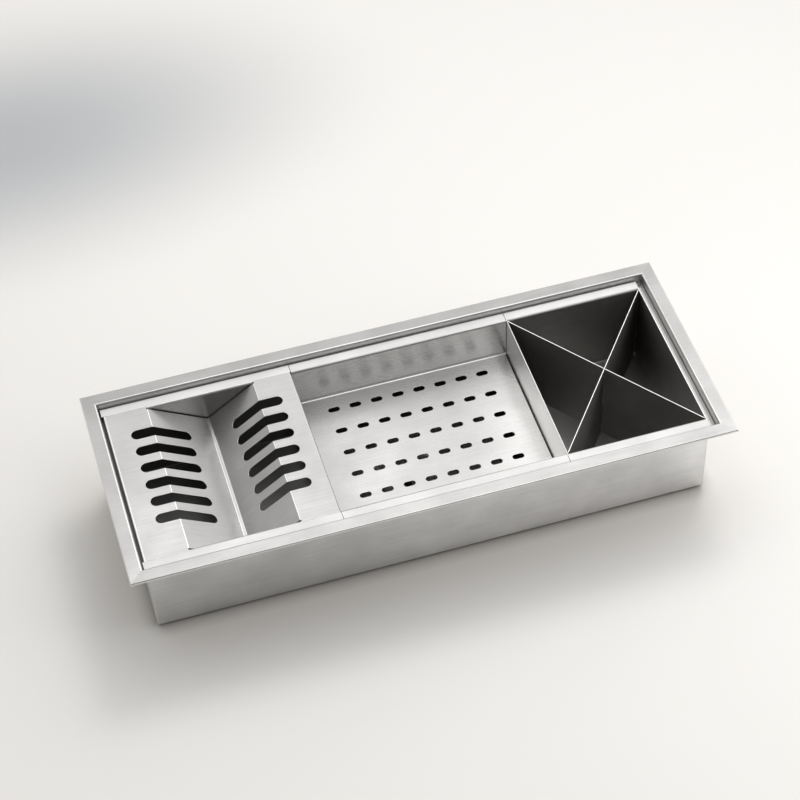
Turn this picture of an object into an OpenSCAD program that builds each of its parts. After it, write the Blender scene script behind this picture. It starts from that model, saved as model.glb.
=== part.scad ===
// Drop-in channel sink of brushed stainless steel sheet, with three lift-out
// fittings side by side: a plate rack, a perforated draining tray and a utensil
// box with a crossed divider.
// Origin: middle of the underside. +X runs to the right along the sink, +Y to
// the back and +Z up. All sizes are in millimetres.

/* [Sink] */
// Length over the rim
sink_l = 900; // [860:5:1100]
// Width over the rim, front to back
sink_w = 360; // [330:5:450]
// Height from the underside of the pads to the top of the rim
sink_h = 162; // [150:1:220]
// Sheet thickness of the basin and its rim
basin_t = 1.5; // [1:0.1:2]
// Outside radius of every sharp bend in the sheet
bend_r = 3; // [2.2:0.1:4]
// Width of the flat rim, from its outer edge to the face of the drop
rim_w = 21.5; // [16:0.5:26]
// Height of the turned-down outer edge of the rim
rim_edge_h = 4; // [3.5:0.5:8]
// Depth of the ledge under the top of the rim
ledge_drop = 16; // [12:1:24]
// Outer edge of the rim to the outside of the front and back walls
side_inset = 36; // [31:1:50]
// Outer edge of the rim to the outside of the end walls
end_inset = 29.5; // [27:0.5:45]

/* [Seal, pads and clip rails] */
// Width of the foam seal under the rim
seal_w = 13; // [8:1:14]
// Thickness of the sound pads, which the sink stands on
pad_t = 4; // [4:0.5:8]
// Distance of the pads from the outside of the basin walls
pad_margin = 12; // [8:1:40]
// Corner radius of the pads
pad_corner_r = 12; // [4:1:30]
// Length of each clip rail
clip_rail_l = 700; // [640:10:800]
// Height of the leg that is welded to the wall
clip_leg_h = 10; // [8:1:25]
// Width of the leg that takes the clip screws
clip_leg_w = 12; // [10:1:13]
// Clear height between the underside of the ledge and the rail
clip_rail_gap = 2; // [2:1:20]
// Radius of the clip screw holes
clip_hole_r = 3.3; // [2:0.1:3.5]
// Distance between the two screw holes of a rail
clip_hole_pitch = 560; // [300:10:600]

/* [Drain] */
// Radius of the waste hole
drain_r = 45; // [30:1:46]
// Radius of the pressed dish round the waste hole
dish_r = 57; // [56:1:70]
// Depth of the dish below the floor of the basin
dish_depth = 3.5; // [2:0.1:3.5]
// Width of the sloping side of the dish
dish_slope_w = 3.5; // [3:0.5:5]
// Gap between the strainer plate and the side of the dish
strainer_gap = 1; // [0.5:0.1:2]
// Radius of the holes in the strainer plate
strainer_hole_r = 1.9; // [1:0.1:2.4]
// Rings of holes in the strainer plate
strainer_rings = 4; // [2:1:4]
// Distance from one ring of holes to the next
strainer_ring_pitch = 9.5; // [8:0.5:10]
// Radius of the strainer's lifting knob
knob_r = 7; // [5:0.5:7]
// Height of the knob above the plate
knob_h = 11; // [9:0.5:20]

/* [Lift-out fittings] */
// Sheet thickness of the three fittings
fitting_t = 1.2; // [1:0.1:1.8]
// Depth of their top faces under the top of the rim
flange_drop = 9; // [5:0.5:10]
// Gap between the fittings' front and back edges and the bend at the foot of the drop
edge_gap = 0.2; // [0.1:0.1:1]
// Gap between the rack's left edge and the drop of the rim
end_gap = 5; // [3:0.5:6]
// Gap between one fitting and the next
joint_gap = 0.6; // [0.4:0.1:2]
// Gap between the fittings' front and back walls and the walls of the basin
wall_gap = 4; // [3:0.5:12]
// Gap between the right side of the box and the end wall of the basin
box_end_gap = 1.6; // [1:0.1:6]

/* [Plate rack] */
// Length of the rack along the sink
rack_l = 286.5; // [270:0.5:330]
// Flat part to the left of the plate channel
left_flat_w = 66; // [50:1:75]
// Width of the plate channel at its top
channel_w = 161.5; // [140:0.5:165]
// Left edge of the channel to the flat strip along its crease
crease_x = 84.9; // [70:0.1:95]
// Width of the flat strip
crease_w = 4.5; // [3:0.5:8]
// Inside radius of the bends beside the strip
crease_r = 2; // [1.5:0.5:3]
// Depth of the channel
channel_depth = 52.5; // [45:0.5:65]
// Height of the turned-down left and right edges
rack_lip_h = 7; // [5:0.5:7]
// How far the rails stand out past the left edge of the folded sheet
rail_overhang = 2; // [0:0.5:2.5]
// Plate slots on each side of the channel
rack_slots = 6; // [3:1:6]
// Distance from one plate slot to the next
rack_slot_pitch = 32.6; // [24:0.1:34]
// Width of a plate slot
rack_slot_w = 17.5; // [8:0.5:20]
// Length of a plate slot on the flat part, from the fold
rack_slot_flat = 33.8; // [20:0.2:40]
// Depth at which a plate slot ends in the channel
rack_slot_drop = 33; // [20:1:38]
// How far the row of slots sits towards the back
rack_slot_shift = 9.6; // [0:0.2:12]
// Gap between the ends of the channel and the end plates
channel_end_gap = 2; // [1:0.5:3]
// How far an end plate reaches below the channel
end_plate_margin = 8.5; // [5:0.5:12]

/* [Draining tray] */
// Length of the tray along the sink
tray_l = 338.4; // [330:0.2:360]
// Depth of the tray from its flanges to its floor
tray_depth = 71; // [50:1:90]
// Slots along the tray
tray_cols = 8; // [4:1:8]
// Slots across the tray
tray_rows = 6; // [3:1:6]
// Distance between slots along the tray
tray_pitch_x = 33.7; // [26:0.1:36]
// Distance between slots across the tray
tray_pitch_y = 43.4; // [30:0.1:45]
// Length of a drain slot
tray_slot_l = 18; // [14:0.5:22]
// Width of a drain slot
tray_slot_w = 9; // [5:0.5:12]
// How far the slots sit towards the box
tray_slot_shift = 3; // [0:0.5:5]
// Height of the turned-down ends of the floor
tray_lip_h = 7; // [5:0.5:12]

/* [Utensil box] */
// Gap between the underside of the box and the floor of the basin
box_floor_gap = 1.5; // [1:0.1:10]
// Gap between the divider plates and the corners of the box
divider_gap = 0.8; // [0.5:0.1:2]
// Free play of one divider plate in the notch of the other
notch_play = 0.4; // [0.2:0.1:1]
// Corner cut at the foot of a divider plate
divider_foot_cut = 6; // [4:0.5:12]

/* [Hidden] */

// Flat steps in a bend, flat steps round a circle, and how far a cutter runs past a face
bend_steps = 6;
round_fn = 96;
past = 1;

// The basin
half_l = sink_l / 2;
half_w = sink_w / 2;
floor_z = pad_t + basin_t;
ledge_z = sink_h - ledge_drop;
wall_y = half_w - side_inset;
wall_x = half_l - end_inset;
drop_y = half_w - rim_w;
drop_x = half_l - rim_w;
rim_edge_r = basin_t + 0.5;
inner_r = bend_r - basin_t;

// The seal starts just inside the turned-down edge
seal_start = basin_t + 2;
seal_gap_below = rim_edge_h - basin_t;

// The dish and the strainer plate
dish_z = floor_z - dish_depth;
dish_bend_r = 1.8;
dish_cut_r = dish_r + 3;
strainer_r = dish_r - dish_slope_w - strainer_gap;
strainer_t = 1.5;
knob_neck_r = 3.5;
first_ring_r = 12;

// Seats of the fittings
flange_z = sink_h - flange_drop;
edge_y = drop_y - inner_r - edge_gap;
face_y = wall_y - basin_t - wall_gap - fitting_t;
fold_y = face_y + bend_r;

// Places of the fittings along the sink
rack_x0 = -drop_x + end_gap;
rack_x1 = rack_x0 + rack_l;
tray_x0 = rack_x1 + joint_gap;
tray_x1 = tray_x0 + tray_l;
box_x0 = tray_x1 + joint_gap;
box_x1 = wall_x - basin_t - box_end_gap;
box_l = box_x1 - box_x0;

// The plate channel
left_fold_x = rack_x0 + left_flat_w;
right_fold_x = left_fold_x + channel_w;
crease_z = flange_z - channel_depth;
left_crease_x = left_fold_x + crease_x;
right_crease_x = left_crease_x + crease_w;
left_panel_angle = atan2(channel_depth, crease_x);
right_panel_angle = atan2(channel_depth, right_fold_x - right_crease_x);
left_slot_run = rack_slot_drop / sin(left_panel_angle);
right_slot_run = rack_slot_drop / sin(right_panel_angle);
channel_end_y = face_y - channel_end_gap;
relief_r = 1.6;

// The tray and the box
tray_floor_z = flange_z - tray_depth;
tray_flat_y = face_y - bend_r;
box_floor_z = floor_z + box_floor_gap + fitting_t;
box_inside_x = box_l - 2 * fitting_t;
box_inside_y = 2 * face_y;
divider_angle = atan2(box_inside_y, box_inside_x);
divider_end = fitting_t / 2 * max(tan(divider_angle), 1 / tan(divider_angle)) + divider_gap;
divider_l = norm([box_inside_x, box_inside_y]) - 2 * divider_end;
divider_h = flange_z - box_floor_z;
crossing = 180 - 2 * divider_angle;
notch_w = fitting_t / sin(crossing) + fitting_t * abs(cos(crossing)) / sin(crossing) + notch_play;

steel = "silver";
inner_steel = "lightgray";
shade_steel = "darkgray";

// Folded sheet.
// A profile is a list of corners on one face of the sheet. Each corner becomes a bend of
// the stated radius, and the other face lies at the stated offset to the left of the way
// along the list.
function unit(v) = v / norm(v);
function to_left(v) = [-v[1], v[0]];
function turned(v, a) = [v[0] * cos(a) - v[1] * sin(a), v[0] * sin(a) + v[1] * cos(a)];
function turn_angle(a, b) = atan2(a[0] * b[1] - a[1] * b[0], a[0] * b[0] + a[1] * b[1]);
function bend_arc(before, corner, after, r, offset) =
    let (a = unit(corner - before),
         angle = turn_angle(a, unit(after - corner)),
         side = sign(angle),
         centre = corner - a * r * tan(abs(angle) / 2) + to_left(a) * side * r)
    [for (k = [0:bend_steps])
        centre - turned(to_left(a), angle * k / bend_steps) * side * (r - side * offset)];
function all_bends(p, radii, offset) =
    [for (i = [1:len(p) - 2]) each bend_arc(p[i - 1], p[i], p[i + 1], radii[i - 1], offset)];
function face_line(p, radii, offset) =
    let (last = len(p) - 1)
    concat([p[0] + to_left(unit(p[1] - p[0])) * offset],
           all_bends(p, radii, offset),
           [p[last] + to_left(unit(p[last] - p[last - 1])) * offset]);
function reversed(list) = [for (i = [len(list) - 1:-1:0]) list[i]];
function sheet_outline(p, radii, offset) =
    concat(face_line(p, radii, 0), reversed(face_line(p, radii, offset)));
function mirrored(p) = [for (q = reversed(p)) [-q[0], q[1]]];

// A profile drawn in Y and Z, run along X from x0 to x1
module along_x(x0, x1) {
    translate([x0, 0, 0]) rotate([90, 0, 90]) linear_extrude(x1 - x0) children();
}

// A profile drawn in X and Z, run along Y from y0 to y1
module along_y(y0, y1) {
    translate([0, y1, 0]) rotate([90, 0, 0]) linear_extrude(y1 - y0) children();
}

// A box between two opposite corners
module block(low, high) {
    translate(low) cube(high - low);
}

// A slot with round ends, centred, its length along X
module obround(l, w) {
    square([l - w, w], center = true);
    for (s = [-1, 1]) translate([s * (l - w) / 2, 0]) circle(d = w, $fn = round_fn);
}

// A rectangle with round corners
module round_rect(low, high, r) {
    translate(low + [r, 0]) square([high[0] - low[0] - 2 * r, high[1] - low[1]]);
    translate(low + [0, r]) square([high[0] - low[0], high[1] - low[1] - 2 * r]);
    for (x = [low[0] + r, high[0] - r], y = [low[1] + r, high[1] - r])
        translate([x, y]) circle(r = r, $fn = round_fn);
}

// Basin: one sheet folded into front wall, floor and back wall
wall_profile = [[-wall_y, ledge_z], [-wall_y, pad_t], [wall_y, pad_t], [wall_y, ledge_z]];
wall_bends = [bend_r, bend_r];
dish_profile = [[dish_cut_r + past, floor_z], [dish_r, floor_z],
                [dish_r - dish_slope_w, dish_z], [drain_r, dish_z]];
dish_bends = [dish_bend_r, dish_bend_r];

module trough() {
    color(steel) {
        difference() {
            along_x(-wall_x + basin_t, wall_x - basin_t)
                polygon(sheet_outline(wall_profile, wall_bends, basin_t));
            translate([0, 0, pad_t - past])
                cylinder(r = dish_cut_r, h = basin_t + 2 * past, $fn = round_fn);
        }
        rotate_extrude($fn = round_fn) polygon(sheet_outline(dish_profile, dish_bends, basin_t));
    }
}

// End walls: flat plates with the outline of the folded sheet
module end_wall(x0) {
    color(steel) along_x(x0, x0 + basin_t) polygon(face_line(wall_profile, wall_bends, 0));
}

module left_end_wall() {
    end_wall(-wall_x);
}

module right_end_wall() {
    end_wall(wall_x - basin_t);
}

// Rim: four mitred strips, each folded into outer edge, flat band, drop and ledge.
// The profile runs inwards from the outer edge at zero, with the top face as its line.
function rim_profile(inset) =
    [[0, sink_h - rim_edge_h], [0, sink_h], [rim_w, sink_h], [rim_w, ledge_z], [inset, ledge_z]];
rim_bends = [rim_edge_r, bend_r, inner_r];

module rim_section(inset) {
    polygon(sheet_outline(rim_profile(inset), rim_bends, -basin_t));
}

// Plan of a strip: mitred from the outer corner to the corner of the basin
module long_strip_plan() {
    corner = min(end_inset, side_inset);
    translate([-half_l, -half_w])
        polygon([[0, 0], [corner, corner], [end_inset, side_inset],
                 [sink_l - end_inset, side_inset], [sink_l - corner, corner], [sink_l, 0]]);
}

module short_strip_plan() {
    corner = min(end_inset, side_inset);
    translate([-half_l, -half_w])
        polygon([[0, 0], [corner, corner], [end_inset, side_inset],
                 [end_inset, sink_w - side_inset], [corner, sink_w - corner], [0, sink_w]]);
}

module long_rim() {
    color(inner_steel) intersection() {
        along_x(-half_l, half_l) translate([-half_w, 0]) rim_section(side_inset);
        linear_extrude(sink_h + past) long_strip_plan();
    }
}

module short_rim() {
    color(inner_steel) intersection() {
        along_y(-half_w, half_w) translate([-half_l, 0]) rim_section(end_inset);
        linear_extrude(sink_h + past) short_strip_plan();
    }
}

module front_rim() {
    long_rim();
}

module back_rim() {
    mirror([0, 1, 0]) long_rim();
}

module left_rim() {
    short_rim();
}

module right_rim() {
    mirror([1, 0, 0]) short_rim();
}

// Seal: a foam strip stuck under the flat of the rim
module rim_seal() {
    outer = [half_l - seal_start, half_w - seal_start];
    inner = outer - [seal_w, seal_w];
    color("dimgray") translate([0, 0, sink_h - rim_edge_h]) linear_extrude(seal_gap_below)
        difference() {
            square(2 * outer, center = true);
            square(2 * inner, center = true);
        }
}

// Clip rails: angle strips welded under the ledge, for the screws of the fixing clips
module clip_rail() {
    top_z = ledge_z - basin_t - clip_rail_gap;
    foot_z = top_z - clip_leg_h;
    hole_y = -wall_y - (clip_leg_w + basin_t) / 2 - past;
    color(shade_steel) difference() {
        along_x(-clip_rail_l / 2, clip_rail_l / 2)
            polygon(sheet_outline([[-wall_y, top_z], [-wall_y, foot_z], [-wall_y - clip_leg_w, foot_z]],
                                  [bend_r], -basin_t));
        for (s = [-1, 1]) translate([s * clip_hole_pitch / 2, hole_y, foot_z - past])
            cylinder(r = clip_hole_r, h = basin_t + 2 * past, $fn = round_fn);
    }
}

module front_clip_rail() {
    clip_rail();
}

module back_clip_rail() {
    mirror([0, 1, 0]) clip_rail();
}

// Sound pads: rubber sheets glued under the floor on either side of the drain
module sound_pad() {
    low = [dish_cut_r + pad_margin, -wall_y + pad_margin];
    high = [wall_x - pad_margin, wall_y - pad_margin];
    color("dimgray") linear_extrude(pad_t) round_rect(low, high, pad_corner_r);
}

module left_sound_pad() {
    mirror([1, 0, 0]) sound_pad();
}

module right_sound_pad() {
    sound_pad();
}

// Strainer: a perforated plate that lies in the dish over the waste hole
module drain_strainer() {
    top_z = dish_z + strainer_t;
    color(inner_steel) {
        difference() {
            translate([0, 0, dish_z]) cylinder(r = strainer_r, h = strainer_t, $fn = round_fn);
            for (ring = [0:strainer_rings - 1], k = [0:6 * (ring + 2) - 1])
                rotate(360 * k / (6 * (ring + 2)))
                    translate([first_ring_r + ring * strainer_ring_pitch, 0, dish_z - past])
                        cylinder(r = strainer_hole_r, h = strainer_t + 2 * past, $fn = 24);
        }
        translate([0, 0, top_z]) cylinder(r = knob_neck_r, h = knob_h / 2, $fn = round_fn);
        translate([0, 0, top_z + knob_h / 2]) cylinder(r = knob_r, h = knob_h / 2, $fn = round_fn);
    }
}

// Plate rack: one sheet folded into turned-down edges, two flats and the channel
rack_profile = [[rack_x0, flange_z - rack_lip_h], [rack_x0, flange_z], [left_fold_x, flange_z],
                [left_crease_x, crease_z], [right_crease_x, crease_z],
                [right_fold_x, flange_z], [rack_x1, flange_z], [rack_x1, flange_z - rack_lip_h]];
rack_bends = [bend_r, bend_r, crease_r, crease_r, bend_r, bend_r];

// One row of plate slots, cut square to the flat and square to the panel beside it.
// The row is drawn at a fold that lies on the origin, with the flat to the left.
module plate_slots(panel_angle, run) {
    for (i = [0:rack_slots - 1])
        translate([0, rack_slot_shift + (i - (rack_slots - 1) / 2) * rack_slot_pitch, 0]) {
            flat_reach = rack_slot_flat + bend_r;
            translate([bend_r - flat_reach / 2, 0, -2 * bend_r])
                linear_extrude(3 * bend_r) obround(flat_reach, rack_slot_w);
            rotate([0, panel_angle, 0]) translate([(run - bend_r) / 2, 0, -2 * bend_r])
                linear_extrude(3 * bend_r) obround(run + bend_r, rack_slot_w);
        }
}

module rack_sheet() {
    color(inner_steel) difference() {
        along_y(-fold_y, fold_y) polygon(sheet_outline(rack_profile, rack_bends, -fitting_t));
        translate([left_fold_x, 0, flange_z]) plate_slots(left_panel_angle, left_slot_run);
        translate([right_fold_x, 0, flange_z]) mirror([1, 0, 0])
            plate_slots(right_panel_angle, right_slot_run);
        for (s = [-1, 1]) {
            low_y = s > 0 ? channel_end_y : -fold_y - past;
            block([left_fold_x, low_y, crease_z - 2 * bend_r],
                  [right_fold_x, low_y + fold_y - channel_end_y + past, flange_z + past]);
            for (x = [left_fold_x, right_fold_x])
                translate([x, s * (channel_end_y + relief_r), flange_z - 2 * bend_r])
                    cylinder(r = relief_r, h = 3 * bend_r, $fn = round_fn);
        }
    }
}

// Rack rails: a flange that bridges the ledge, with a plate folded down to close the channel
module rack_rail() {
    strip = [[-edge_y, ledge_z], [-edge_y, flange_z], [-fold_y, flange_z]];
    plate_foot_z = crease_z - end_plate_margin;
    shoulder_z = flange_z - end_plate_margin - bend_r;
    color(inner_steel) {
        along_x(rack_x0 - rail_overhang, rack_x1)
            polygon(sheet_outline(strip, [bend_r], -fitting_t));
        intersection() {
            along_x(left_fold_x, right_fold_x)
                polygon(sheet_outline([[-fold_y - bend_r, flange_z], [-face_y, flange_z],
                                       [-face_y, plate_foot_z]], [bend_r], -fitting_t));
            along_y(-edge_y, -face_y + past)
                polygon([[left_fold_x, flange_z], [left_fold_x, shoulder_z],
                         [left_crease_x, plate_foot_z], [right_crease_x, plate_foot_z],
                         [right_fold_x, shoulder_z], [right_fold_x, flange_z]]);
        }
    }
}

module rack_front_rail() {
    rack_rail();
}

module rack_back_rail() {
    mirror([0, 1, 0]) rack_rail();
}

// Half the section of a hanging fitting, from its turned-down edge to the middle of its floor
function hanging_half(bottom_z) =
    [[-edge_y, ledge_z], [-edge_y, flange_z], [-face_y, flange_z], [-face_y, bottom_z]];
function hanging_profile(bottom_z) =
    concat(hanging_half(bottom_z), mirrored(hanging_half(bottom_z)));
hanging_bends = [bend_r, bend_r, bend_r, bend_r, bend_r, bend_r];

// Draining tray: one sheet, open at both ends, its floor turned down there
module tray_end_lip() {
    along_y(-tray_flat_y, tray_flat_y)
        polygon(sheet_outline([[tray_x1 - 3 * bend_r, tray_floor_z], [tray_x1, tray_floor_z],
                               [tray_x1, tray_floor_z - tray_lip_h]], [bend_r], -fitting_t));
}

module tray() {
    middle_x = (tray_x0 + tray_x1) / 2;
    color(inner_steel) {
        difference() {
            along_x(tray_x0, tray_x1)
                polygon(sheet_outline(hanging_profile(tray_floor_z), hanging_bends, -fitting_t));
            for (x = [tray_x0 - past, tray_x1 - bend_r])
                block([x, -tray_flat_y, tray_floor_z - fitting_t - past],
                      [x + bend_r + past, tray_flat_y, tray_floor_z + past]);
            for (i = [0:tray_cols - 1], j = [0:tray_rows - 1])
                translate([middle_x + tray_slot_shift + (i - (tray_cols - 1) / 2) * tray_pitch_x,
                           (j - (tray_rows - 1) / 2) * tray_pitch_y,
                           tray_floor_z - fitting_t - past])
                    linear_extrude(fitting_t + 2 * past) obround(tray_slot_l, tray_slot_w);
        }
        tray_end_lip();
        translate([middle_x, 0, 0]) mirror([1, 0, 0]) translate([-middle_x, 0, 0]) tray_end_lip();
    }
}

// Utensil box: flanges, front, floor and back in one sheet, and two welded side plates
box_profile = hanging_profile(box_floor_z);

module box_wrap() {
    color(steel) along_x(box_x0, box_x1)
        polygon(sheet_outline(box_profile, hanging_bends, -fitting_t));
}

// A side plate fills the section between the flanges
module box_side(x0) {
    inside = [[-fold_y - past, flange_z], [-face_y, flange_z], [-face_y, box_floor_z]];
    color(steel) along_x(x0, x0 + fitting_t)
        polygon(all_bends(concat(inside, mirrored(inside)), [bend_r, bend_r, bend_r, bend_r], 0));
}

module box_left_side() {
    box_side(box_x0);
}

module box_right_side() {
    box_side(box_x1 - fitting_t);
}

// Divider: two plates from corner to corner, each notched to half its height where they cross
module divider_plate(notch_from_top) {
    notch_z = notch_from_top ? divider_h / 2 : 0;
    half = divider_l / 2;
    rotate([90, 0, 0]) translate([0, 0, -fitting_t / 2]) linear_extrude(fitting_t) difference() {
        polygon([[-half, divider_h], [-half, divider_foot_cut], [divider_foot_cut - half, 0],
                 [half - divider_foot_cut, 0], [half, divider_foot_cut], [half, divider_h]]);
        translate([-notch_w / 2, notch_z - (notch_from_top ? 0 : past)])
            square([notch_w, divider_h / 2 + past]);
    }
}

module divider_at(angle) {
    translate([(box_x0 + box_x1) / 2, 0, box_floor_z]) rotate(angle) children();
}

module divider_long() {
    color(shade_steel) divider_at(-divider_angle) divider_plate(true);
}

module divider_notched() {
    color(shade_steel) divider_at(divider_angle) divider_plate(false);
}

trough();
left_end_wall();
right_end_wall();
front_rim();
back_rim();
left_rim();
right_rim();
rim_seal();
front_clip_rail();
back_clip_rail();
left_sound_pad();
right_sound_pad();
drain_strainer();
rack_sheet();
rack_front_rail();
rack_back_rail();
tray();
box_wrap();
box_left_side();
box_right_side();
divider_long();
divider_notched();
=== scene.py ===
"""Looks of a drop-in channel sink of brushed stainless steel, with a lift-out plate rack,
draining tray and utensil box. Lengths in the sections are millimetres, as in a workshop drawing,
and each mesh is turned to metres when it is made."""

import bpy
import numpy as np
from mathutils.geometry import delaunay_2d_cdt
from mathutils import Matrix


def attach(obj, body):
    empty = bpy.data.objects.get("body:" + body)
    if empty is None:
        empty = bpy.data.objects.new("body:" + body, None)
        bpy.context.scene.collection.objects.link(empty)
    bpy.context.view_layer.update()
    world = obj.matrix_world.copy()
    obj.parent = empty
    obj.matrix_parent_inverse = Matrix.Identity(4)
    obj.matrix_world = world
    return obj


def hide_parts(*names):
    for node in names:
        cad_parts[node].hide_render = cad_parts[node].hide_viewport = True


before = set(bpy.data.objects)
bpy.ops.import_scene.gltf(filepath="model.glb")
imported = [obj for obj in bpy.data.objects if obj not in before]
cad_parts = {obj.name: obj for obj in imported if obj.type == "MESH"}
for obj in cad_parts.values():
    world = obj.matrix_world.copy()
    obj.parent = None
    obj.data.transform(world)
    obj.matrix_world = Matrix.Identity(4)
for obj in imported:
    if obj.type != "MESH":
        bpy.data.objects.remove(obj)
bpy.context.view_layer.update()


# Camera
# A long lens, turned a little to the left of the sink's front and looking down on it,
# at the place that the photograph's straight edges give.
camera = bpy.data.objects.new("camera", bpy.data.cameras.new("camera"))
bpy.context.scene.collection.objects.link(camera)
camera.location = (-0.5496, -2.0559, 2.6286)
camera.rotation_euler = np.radians((41.1188, 1.6857, -16.7235))
camera.data.sensor_width = 36
camera.data.lens = 100.18
camera.data.clip_end = 60
bpy.context.scene.camera = camera
bpy.context.scene.view_settings.view_transform = "Standard"


# Studio: floor, world and lamps
# A plain pale floor, a large soft lamp above the back right, whose soft shadow falls to the front
# and left, four smaller lamps near the sink, and a room that is brighter on some sides.
def linear(code):
    """The linear colour of an sRGB hex code: each channel's gamma curve undone."""
    channel = np.array([int(code[i:i + 2], 16) for i in (1, 3, 5)]) / 255
    value = np.where(channel <= 0.04045, channel / 12.92, ((channel + 0.055) / 1.055) ** 2.4)
    return (*value.tolist(), 1.0)


def add(tree, kind, links=None, **settings):
    """A node of one kind, with its settings, and for each input a value or the socket that feeds it."""
    made = tree.nodes.new(kind)
    for name, value in settings.items():
        setattr(made, name, value)
    for name, value in (links or {}).items():
        if isinstance(value, bpy.types.NodeSocket):
            tree.links.new(value, made.inputs[name])
        else:
            made.inputs[name].default_value = value
    return made


def new_tree(owner):
    """The owner's node tree, emptied."""
    owner.use_nodes = True
    owner.node_tree.nodes.clear()
    return owner.node_tree


# The floor is pale matt paint. What the camera and the metal see of it is lifted to a bright
# backdrop, shadow and all. A painted cool grey shade darkens it at the far left, for the camera alone.
# Close to the sink a painted contact shadow makes it darker, and a little warmer.
FLOOR_HEX, FLOOR_LIFT, FLOOR_HALF = "#e6e4e1", 1.02, 9
COOL_MIDDLE, COOL_SHARE, COOL_TINT = (-0.46, 0.95, 0), (1.33, 2.5, 0), (0.57, 0.595, 0.63, 1)
COOL_OUTER, COOL_INNER = 1.05, 0.05
CLOSE_SHADES = [(0.025, (0.3, 0.3, 0.3, 1)), (0.12, (1, 0.965, 0.92, 1))]
floor_paint = bpy.data.materials.new("matt_floor_paint")
tree = new_tree(floor_paint)
ray = add(tree, "ShaderNodeLightPath").outputs
seen = add(tree, "ShaderNodeMath", {0: ray["Is Camera Ray"], 1: ray["Is Glossy Ray"]}, operation="MAXIMUM")
seen = add(tree, "ShaderNodeMath", {0: seen.outputs[0], 1: ray["Is Transmission Ray"]}, operation="MAXIMUM")
lifted = tuple(c * FLOOR_LIFT for c in linear(FLOOR_HEX)[:3]) + (1.0,)
colour = add(tree, "ShaderNodeMix", {0: seen.outputs[0], 6: linear(FLOOR_HEX), 7: lifted}, data_type="RGBA")
# Painted shade: a cool grey darkening at the far left, seen by the camera alone
spot = add(tree, "ShaderNodeTexCoord").outputs["Object"]
far_left = add(tree, "ShaderNodeVectorMath", {0: spot, 1: COOL_MIDDLE}, operation="SUBTRACT")
far_left = add(tree, "ShaderNodeVectorMath", {0: far_left.outputs[0], 1: COOL_SHARE}, operation="MULTIPLY")
far_left = add(tree, "ShaderNodeVectorMath", {0: far_left.outputs[0]}, operation="LENGTH")
depth = add(tree, "ShaderNodeMapRange", {"Value": far_left.outputs["Value"], "From Min": COOL_OUTER,
                                         "From Max": COOL_INNER}, interpolation_type="SMOOTHSTEP")
depth = add(tree, "ShaderNodeMath", {0: depth.outputs[0], 1: ray["Is Camera Ray"]}, operation="MULTIPLY")
cool = tuple(a * b for a, b in zip(lifted, COOL_TINT))
colour = add(tree, "ShaderNodeMix", {0: depth.outputs[0], 6: colour.outputs[2], 7: cool}, data_type="RGBA")
# Painted contact shadow: ambient occlusion darkens and warms the floor close to the sink
for reach, tint in CLOSE_SHADES:
    near = add(tree, "ShaderNodeAmbientOcclusion", {"Distance": reach}, samples=8)
    close = add(tree, "ShaderNodeMix", {0: near.outputs["AO"], 6: tint, 7: (1, 1, 1, 1)}, data_type="RGBA")
    colour = add(tree, "ShaderNodeMix", {0: 1.0, 6: colour.outputs[2], 7: close.outputs[2]}, data_type="RGBA",
                 blend_type="MULTIPLY")
shade = add(tree, "ShaderNodeBsdfDiffuse", {"Color": colour.outputs[2]})
add(tree, "ShaderNodeOutputMaterial", {"Surface": shade.outputs[0]})
floor_mesh = bpy.data.meshes.new("floor")
floor_mesh.from_pydata([(x * FLOOR_HALF, y * FLOOR_HALF, 0) for x, y in ((-1, -1), (1, -1), (1, 1), (-1, 1))],
                       [], [(0, 1, 2, 3)])
floor_mesh.materials.append(floor_paint)
floor = bpy.data.objects.new("floor", floor_mesh)
bpy.context.scene.collection.objects.link(floor)

# The room: a plain level, and soft bright areas about some directions: overhead, back, front, back
# left, back right, right and left. Each rises smoothly from its outer to its inner cosine.
ROOM_LEVEL, ROOM_TINT = 0.12, (1.0, 0.995, 0.985, 1.0)
ROOM_AREAS = [((0, 0, 1), 0.4, 0.95, 0.19),
              ((0.16, 0.61, 0.78), 0.75, 0.97, 0.62),
              ((0.1, -0.75, 0.6), 0.7, 0.97, 0.12),
              ((-0.69, 0.61, 0.39), 0.6, 0.95, 0.57),
              ((0.77, 0.61, 0.20), 0.6, 0.95, 1.06),
              ((1, -0.3, 0.3), 0.5, 0.95, 0.41),
              ((-1, -0.2, 0.3), 0.6, 0.95, 0.23)]
world = bpy.data.worlds.new("studio")
bpy.context.scene.world = world
tree = new_tree(world)
direction = add(tree, "ShaderNodeTexCoord").outputs["Generated"]
total = ROOM_LEVEL
for axis, outer, inner, strength in ROOM_AREAS:
    axis = tuple(np.array(axis) / np.linalg.norm(axis))
    near = add(tree, "ShaderNodeVectorMath", {0: direction, 1: axis}, operation="DOT_PRODUCT")
    glow = add(tree, "ShaderNodeMapRange", {"Value": near.outputs["Value"], "From Min": outer,
                                            "From Max": inner, "To Max": strength},
               interpolation_type="SMOOTHSTEP")
    total = add(tree, "ShaderNodeMath", {0: glow.outputs[0], 1: total}, operation="ADD").outputs[0]
shade = add(tree, "ShaderNodeBackground", {"Color": ROOM_TINT, "Strength": total})
add(tree, "ShaderNodeOutputWorld", {"Surface": shade.outputs[0]})


def soft_lamp(name, place, aim, size, watts, in_gloss=True):
    """A rectangular lamp at a place, facing a point."""
    data = bpy.data.lights.new(name, "AREA")
    data.shape = "RECTANGLE"
    data.size, data.size_y = size
    data.energy = watts
    lamp = bpy.data.objects.new(name, data)
    bpy.context.scene.collection.objects.link(lamp)
    back = np.subtract(place, aim)
    lamp.location = place
    lamp.rotation_euler = (np.arctan2(np.hypot(*back[:2]), back[2]), 0,
                           np.arctan2(back[1], back[0]) + np.pi / 2)
    lamp.visible_glossy = in_gloss


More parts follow.
